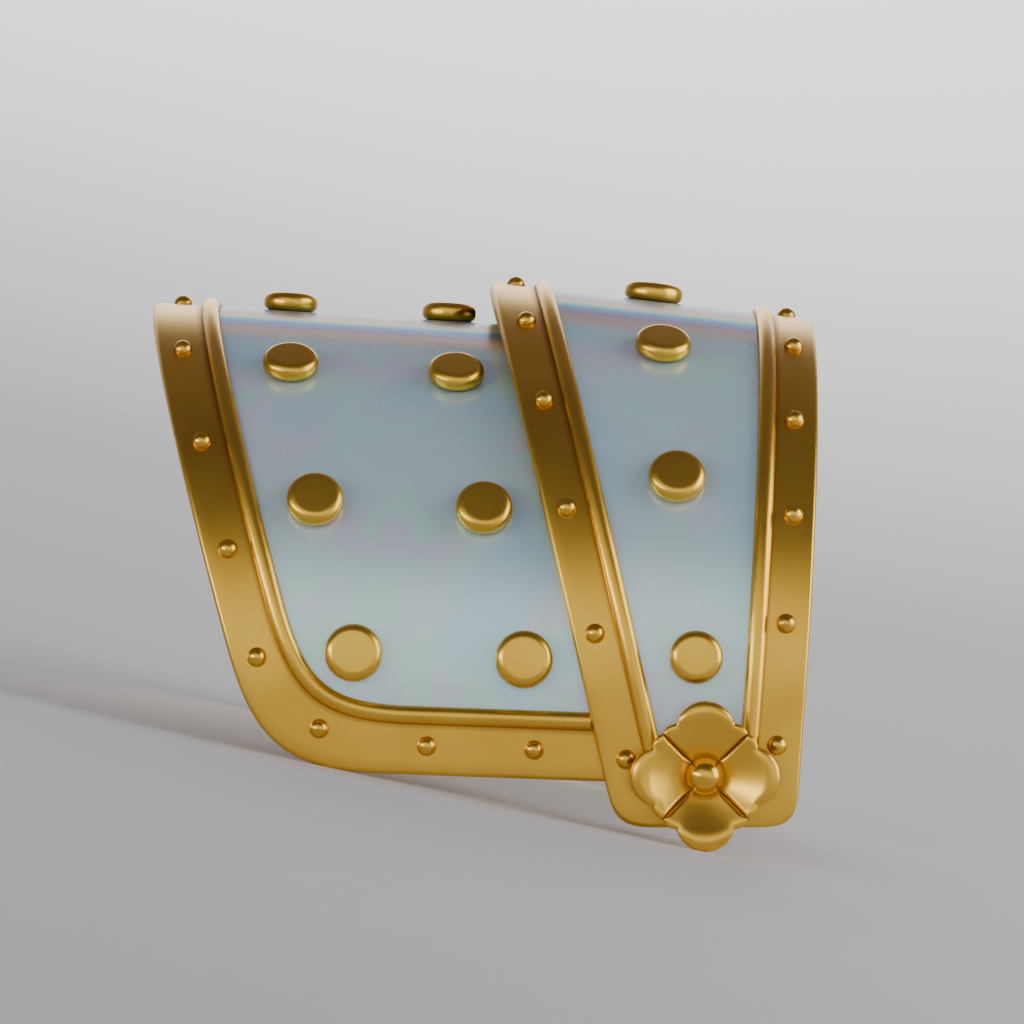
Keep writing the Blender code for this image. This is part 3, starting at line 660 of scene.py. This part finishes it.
inner_spots = []
for rows, foot_height, rim_edge, joint_edge, lean_back in (
    (INNER_ARM_RIVET_ROWS, ARM_FOOT_RIVET_HEIGHT, INNER_ARM_EDGE, arm_line, INNER_ARM_LEAN),
    (INNER_NECK_RIVET_ROWS, NECK_FOOT_RIVET_HEIGHT, INNER_NECK_EDGE, neck_line, INNER_NECK_LEAN),
):
    for row in rows:
        run = inner.run_at(row["angle"])
        inner_spots += along_border(inner, run, row["share"], rim_edge, joint_edge, lean_back)
    foot_run = inner.quarter + INNER_SPRING_HEIGHT - foot_height
    inner_spots += along_border(inner, foot_run, FOOT_RIVET_SHARE, rim_edge, joint_edge, lean_back)
finished(rivets(inner, inner_spots), "inner_rivets", (rivet_gilt,), "gilt_border")

# The studs: flat round gilt buttons with a full round edge, drawn in a little at the foot. They stand on the
# pearl panels in rows from the ridge down the front and the back, two abreast on the outer plate and single
# on the inner one.
STUD_RADIUS = 0.0078
STUD_HEIGHT = 0.0053
STUD_TOP_ROUNDING = 0.0026
STUD_FOOT_ROUNDING = 0.0021
STUD_SIDES = 72
STUD_BEVELS = 8
STUD_SHADE_REACH = 0.0018
OUTER_STUD_ROWS = (
    {"angle": 0.0, "arm": 0.27, "neck": 0.82},
    {"angle": 34.4, "arm": 0.244, "neck": 0.801},
    {"angle": 61.6, "arm": 0.225, "neck": 0.794},
    {"angle": 84.4, "arm": 0.230, "neck": 0.814},
)
INNER_STUD_ROWS = (
    {"angle": 0.0, "share": 0.505, "size": 1.08},
    {"angle": 31.5, "share": 0.50, "size": 1.01},
    {"angle": 58.5, "share": 0.495, "size": 1.0},
    {"angle": 84.9, "share": 0.52, "size": 0.92},
)


def stud(radius):
    """A disc with its top and bottom edges rounded over."""
    bm = bmesh.new()
    middle = Matrix.Translation((0.0, 0.0, STUD_HEIGHT / 2))
    bmesh.ops.create_cone(
        bm,
        cap_ends=True,
        segments=STUD_SIDES,
        radius1=radius,
        radius2=radius,
        depth=STUD_HEIGHT,
        matrix=middle,
    )
    for height, rounding in ((STUD_HEIGHT, STUD_TOP_ROUNDING), (0.0, STUD_FOOT_ROUNDING)):
        ring = [edge for edge in bm.edges if all(abs(vert.co.z - height) < SAME_PLACE for vert in edge.verts)]
        bmesh.ops.bevel(
            bm, geom=ring, offset=rounding, segments=STUD_BEVELS, profile=0.5, affect="EDGES", material=-1
        )
    # Painted shade round the foot of the stud, where it meets the panel.
    contact = bm.verts.layers.float.new("contact")
    for vert in bm.verts:
        vert[contact] = min(max(1.0 - vert.co.z / STUD_SHADE_REACH, 0.0), 1.0)
    return bm


def stud_row(label, former, degrees, x, radius):
    for x_there, run in both_sides(x, former.run_at(degrees)):
        side = "ridge" if run == 0.0 else "front" if run < 0.0 else "back"
        button = stud(radius)
        button.transform(former.stance(x_there, run))
        finished(button, f"button_{label}_{side}", (stud_gilt,), "gilt_stud", f"stud_{label}_{side}")


stud_gilt = gilding("stud_gilt", 0.29)
for number, row in enumerate(OUTER_STUD_ROWS):
    run = outer.run_at(row["angle"])
    left = float(outer.edge_x(run, outer_line, OUTER_ARM_LEAN))
    right = float(outer.edge_x(run, INNER_ARM_EDGE, INNER_ARM_LEAN))
    for column in ("arm", "neck"):
        x = left + (right - left) * row[column]
        stud_row(f"outer_{column}_{number}", outer, row["angle"], x, STUD_RADIUS)
for number, row in enumerate(INNER_STUD_ROWS):
    run = inner.run_at(row["angle"])
    left = float(inner.edge_x(run, arm_line, INNER_ARM_LEAN))
    right = float(inner.edge_x(run, neck_line, INNER_NECK_LEAN))
    x = left + (right - left) * row["share"]
    stud_row(f"inner_{number}", inner, row["angle"], x, STUD_RADIUS * row["size"])

# The rosettes: four cast petals round a hub, each cupped towards the middle, with a rolled lip and a cut
# between it and the next. They stand on the bead ends, and the pin behind each one holds it.
LOBE_RADIUS = 0.00805
LOBE_CENTRE = 0.0121
SHOULDER = 0.0162
SHOULDER_BULGE = 0.0005
CUSP = math.radians(29.3)
HUB_RADIUS = 0.0068
LEAF = 0.0017
CUP_SLOPES = (0.39, 0.58)
CUP_KNEE = (0.0146, 0.0178)
LIP = 0.0031
LIP_DROP = 0.0016
CUT = 0.0012
CUT_DEPTH = 0.0011
UNDERCUT = 0.93
BOSS_RADIUS = 0.005
BOSS_SHADE = 0.0009
PETAL_STEPS = (20, 44, 20)
PETAL_RINGS = 40
RING_CROWDING = 0.8
CUT_FROM = 0.6
CUT_SHADE = 0.45

under = 2 * SEAT_GAP + BEAD_HEIGHT
face = under + LEAF
dish_start = BOSS_RADIUS + SEAT_GAP


def petal_edge(turn):
    """How far a petal's edge lies from the middle, at a turn from the petal's own axis."""
    if abs(turn) < CUSP:
        return LOBE_CENTRE * math.cos(turn) + math.sqrt(LOBE_RADIUS**2 - (LOBE_CENTRE * math.sin(turn)) ** 2)
    share = (abs(turn) - CUSP) / (math.pi / 4 - CUSP)
    return SHOULDER + SHOULDER_BULGE * math.sin(math.pi * share)


def dish(radius):
    """How far the cupped leaf has risen at this distance from the middle: ever steeper, then level."""
    knee, level = CUP_KNEE
    first, last = CUP_SLOPES
    inside = min(max(radius - dish_start, 0.0), knee - dish_start)
    past = min(max(radius - knee, 0.0), level - knee)
    rise = first * inside + (last - first) * inside**2 / (2 * (knee - dish_start))
    return rise + last * (past - past**2 / (2 * (level - knee)))


def rosette():
    """A disc of rings, drawn out to the petals' outline, cupped, rounded at lip and cut, with its back."""
    quarter = math.pi / 4
    stops = (-quarter, -CUSP, CUSP, quarter)
    turns = [np.linspace(a, b, n, endpoint=False) for a, b, n in zip(stops, stops[1:], PETAL_STEPS)]
    petal_turns = np.concatenate(turns)
    own = np.tile(petal_turns, 4)
    around = np.concatenate([petal_turns + math.pi / 2 * petal for petal in range(4)])
    rims = np.array([petal_edge(turn) for turn in own])
    outline = np.stack([rims * np.sin(around), rims * np.cos(around)], axis=1)
    columns = len(around)
    rings = [(step / PETAL_RINGS, "face") for step in range(PETAL_RINGS + 1)]
    rings += [(1.0, "edge"), (UNDERCUT, "under"), (0.0, "hub_top"), (0.0, "hub_foot"), (0.0, "middle")]
    bm = bmesh.new()
    bmesh.ops.create_grid(bm, x_segments=columns, y_segments=len(rings) - 1, size=0.5)
    contact = bm.verts.layers.float.new("contact")
    for vert in bm.verts:
        column = round((vert.co.x + 0.5) * columns) % columns
        share, kind = rings[round((vert.co.y + 0.5) * (len(rings) - 1))]
        rim = rims[column]
        hub = {"hub_top": HUB_RADIUS, "hub_foot": HUB_RADIUS, "middle": 0.0}
        radius = hub.get(kind, rim * share**RING_CROWDING)
        spot = np.array([radius * math.sin(around[column]), radius * math.cos(around[column])])
        to_lip = np.linalg.norm(outline - spot, axis=1).min() if kind == "face" else 0.0
        to_cut = radius * math.sin(quarter - abs(own[column]))
        lip = LIP_DROP * (1.0 - math.sqrt(max(0.0, 1.0 - (1.0 - min(to_lip / LIP, 1.0)) ** 2)))
        cut = CUT_DEPTH * (1.0 - min(to_cut / CUT, 1.0)) ** 2
        cut *= min(max((radius - BOSS_RADIUS * CUT_FROM) / BOSS_RADIUS, 0.0), 1.0)
        height = {
            "face": face + dish(radius) - max(lip, cut),
            "edge": under + dish(rim) + (LEAF - LIP_DROP) / 2,
            "under": under + dish(rim),
            "hub_top": under,
            "hub_foot": SEAT_GAP,
            "middle": SEAT_GAP,
        }[kind]
        vert.co = (spot[0], spot[1], height)
        # Painted shade in a ring round the ball and along the cuts between the petals.
        near_boss = max(0.0, 1.0 - abs(radius - BOSS_RADIUS) / BOSS_SHADE)
        near_cut = max(0.0, 1.0 - to_cut / (CUT * CUT_SHADE)) * min(radius / BOSS_RADIUS, 1.0)
        vert[contact] = max(near_cut, near_boss)
    bmesh.ops.remove_doubles(bm, verts=bm.verts[:], dist=SAME_PLACE)
    bmesh.ops.recalc_face_normals(bm, faces=bm.faces[:])
    return bm


rosette_gilt = gilding("rosette_gilt", 0.30)
pin_run = inner.quarter + INNER_SPRING_HEIGHT
for side, run in (("front", -pin_run), ("back", pin_run)):
    flower = rosette()
    flower.transform(inner.stance(0.0, run))
    finished(flower, f"flower_{side}", (rosette_gilt,), "gilt_rosette", f"rosette_{side}")

# The ball in the middle of each rosette: cast with a flat seat on the petals, gilt, and polished a little
# brighter than they are.
BOSS_SINK = 0.0007
BOSS_STEPS = 48
BOSS_SHADE_REACH = 0.0011

boss_gilt = gilding("boss_gilt", 0.24)
for side, run in (("front", -pin_run), ("back", pin_run)):
    ball = bmesh.new()
    bmesh.ops.create_uvsphere(ball, u_segments=BOSS_STEPS, v_segments=BOSS_STEPS // 2, radius=BOSS_RADIUS)
    everything = ball.verts[:] + ball.edges[:] + ball.faces[:]
    cut = bmesh.ops.bisect_plane(
        ball, geom=everything, plane_co=(0, 0, -BOSS_SINK - SEAT_GAP), plane_no=(0, 0, 1), clear_inner=True
    )
    seat_ring = [item for item in cut["geom_cut"] if isinstance(item, bmesh.types.BMEdge)]
    bmesh.ops.edgeloop_fill(ball, edges=seat_ring)
    # Painted shade on the ball's lower flank, where it sits on the petals.
    contact = ball.verts.layers.float.new("contact")
    for vert in ball.verts:
        vert[contact] = min(max(1.0 - (vert.co.z + BOSS_SINK) / BOSS_SHADE_REACH, 0.0), 1.0)
    bmesh.ops.recalc_face_normals(ball, faces=ball.faces[:])
    ball.transform(inner.stance(0.0, run, face + SEAT_GAP + BOSS_SINK))
    finished(ball, f"ball_{side}", (boss_gilt,), "gilt_boss", f"rosette_boss_{side}")

# The pin behind each rosette: a plain round brass shank through both plates and the petals, with a low flat
# head inside the guard. The ball hides its other end.
PIN_RADIUS = 0.0015
PIN_HEAD_RADIUS = 0.0032
PIN_HEAD_HEIGHT = 0.001
PIN_SIDES = 40
PIN_EDGE = 0.0003

for side, run in (("front", -pin_run), ("back", pin_run)):
    head_top = -2 * (WALL + SEAT_GAP)
    pin = bmesh.new()
    shank_length = face - head_top
    for radius, low, length in (
        (PIN_RADIUS, head_top, shank_length),
        (PIN_HEAD_RADIUS, head_top - PIN_HEAD_HEIGHT, PIN_HEAD_HEIGHT),
    ):
        middle = Matrix.Translation((0.0, 0.0, low + length / 2))
        bmesh.ops.create_cone(
            pin,
            cap_ends=True,
            segments=PIN_SIDES,
            radius1=radius,
            radius2=radius,
            depth=length,
            matrix=middle,
        )
    foot = head_top - PIN_HEAD_HEIGHT
    ring = [edge for edge in pin.edges if all(abs(vert.co.z - foot) < SAME_PLACE for vert in edge.verts)]
    bmesh.ops.bevel(pin, geom=ring, offset=PIN_EDGE, segments=3, profile=0.5, affect="EDGES", material=-1)
    pin.transform(inner.stance(0.0, run))
    finished(pin, f"rivet_pin_{side}", (brass,), "pin_metal", f"pin_{side}")

# The set: a pale studio floor that sweeps up into a wall, a soft box at each side, washes of light on the
# wall and the floor behind, and air that is bright in front. The camera looks straight at the front of the
# guard as it is worn, so it stands turned with the guard's lean.
CAMERA_PLACE = Vector((-0.0517, -1.484, 0.0707))
CAMERA_LENS = 36.0 * 5100 / 1024
FLOOR_FRONT = -4.0
FLOOR_BACK = 0.5
SWEEP_RADIUS = 2.6
SWEEP_STEPS = 32
WALL_TOP = 2.62
FLOOR_WIDTH = 10.0
BOXES_AIM = (-0.02, -0.02, 0.03)
SOFT_LIGHTS = (
    {"name": "left_box", "from": (-1.05, -0.78, 0.16), "at": BOXES_AIM, "size": (1.0, 0.45), "watts": 11.0},
    {"name": "right_box", "from": (1.23, -0.30, 0.40), "at": BOXES_AIM, "size": (1.1, 1.1), "watts": 14.0},
    {"name": "wall_wash", "from": (0.0, 1.7, 1.7), "at": (0.0, 3.0, 1.2), "size": (1.6, 1.6), "watts": 44.0},
    {"name": "floor_wash", "from": (0.0, 1.9, 0.85), "at": (0.0, 1.9, 0.0), "size": (1.6, 1.6), "watts": 8.0},
)
LIGHT_TINT = (1.0, 0.98, 0.95)
AIR_FRONT = (1.16, 1.13, 1.05, 1.0)
AIR_ABOVE = (0.125, 0.108, 0.17, 1.0)
AIR_BEHIND = (0.21, 0.17, 0.235, 1.0)

sweep = bmesh.new()
corner = sweep.verts.new((-FLOOR_WIDTH / 2, FLOOR_FRONT, 0.0))
turn_start = sweep.verts.new((-FLOOR_WIDTH / 2, FLOOR_BACK, 0.0))
sweep.edges.new((corner, turn_start))
bmesh.ops.spin(
    sweep,
    geom=[turn_start],
    cent=(0.0, FLOOR_BACK, SWEEP_RADIUS),
    axis=(1.0, 0.0, 0.0),
    angle=math.pi / 2,
    steps=SWEEP_STEPS,
    use_merge=False,
)
swept_end = max(sweep.verts, key=lambda vert: vert.co.y)
top = sweep.verts.new((-FLOOR_WIDTH / 2, FLOOR_BACK + SWEEP_RADIUS, WALL_TOP))
sweep.edges.new((swept_end, top))
across = bmesh.ops.extrude_edge_only(sweep, edges=sweep.edges[:])
moved = [item for item in across["geom"] if isinstance(item, bmesh.types.BMVert)]
bmesh.ops.translate(sweep, vec=(FLOOR_WIDTH, 0.0, 0.0), verts=moved)
bmesh.ops.recalc_face_normals(sweep, faces=sweep.faces[:])
floor_mesh = bpy.data.meshes.new("studio_floor")
sweep.to_mesh(floor_mesh)
sweep.free()
floor_mesh.shade_smooth()
paper, paper_shader, paper_place = new_finish("floor_paper", {"Specular IOR Level": 0.2})
mottle = noise(paper_place, 3.0, 2.0)
fed(paper_shader, "Base Color", mottle.between((0.74, 0.745, 0.75, 1.0), (0.77, 0.77, 0.765, 1.0)))
fed(paper_shader, "Roughness", 0.7 + noise(paper_place, 400.0) * 0.15)
floor_mesh.materials.append(paper)
floor = bpy.data.objects.new("studio_floor", floor_mesh)
bpy.context.scene.collection.objects.link(floor)

for light in SOFT_LIGHTS:
    lamp = bpy.data.lights.new(light["name"], "AREA")
    lamp.shape = "RECTANGLE"
    lamp.size, lamp.size_y = light["size"]
    lamp.energy = light["watts"]
    lamp.color = LIGHT_TINT
    holder = bpy.data.objects.new(light["name"], lamp)
    bpy.context.scene.collection.objects.link(holder)
    spot = set_down @ Vector(light["from"])
    holder.location = spot
    holder.rotation_euler = (set_down @ Vector(light["at"]) - spot).to_track_quat("-Z", "Y").to_euler()

air = bpy.data.worlds.new("studio_air")
air.use_nodes = True
bpy.context.scene.world = air
air_place = Wire(air.node_tree).node("ShaderNodeTexCoord", {}, {}, "Generated")
front_way = 0.0 - air_place.node("ShaderNodeSeparateXYZ", {}, {0: air_place}, "Y")
height = air_place.node("ShaderNodeSeparateXYZ", {}, {0: air_place}, "Z")
level = 1.0 - height.node("ShaderNodeMath", {"operation": "ABSOLUTE"}, {0: height})
glow = front_way.eased(0.30, 0.90) * level.eased(0.27, 0.60)
around = front_way.eased(-0.5, 0.1).between(AIR_BEHIND, AIR_ABOVE)
air_colour = glow.between(around, AIR_FRONT)
fed(air.node_tree.nodes["Background"], "Color", air_colour)

lens = bpy.data.cameras.new("camera")
lens.lens = CAMERA_LENS
camera = bpy.data.objects.new("camera", lens)
bpy.context.scene.collection.objects.link(camera)
camera.matrix_world = set_down @ Matrix.Translation(CAMERA_PLACE) @ Matrix.Rotation(math.pi / 2, 4, "X")
bpy.context.scene.camera = camera
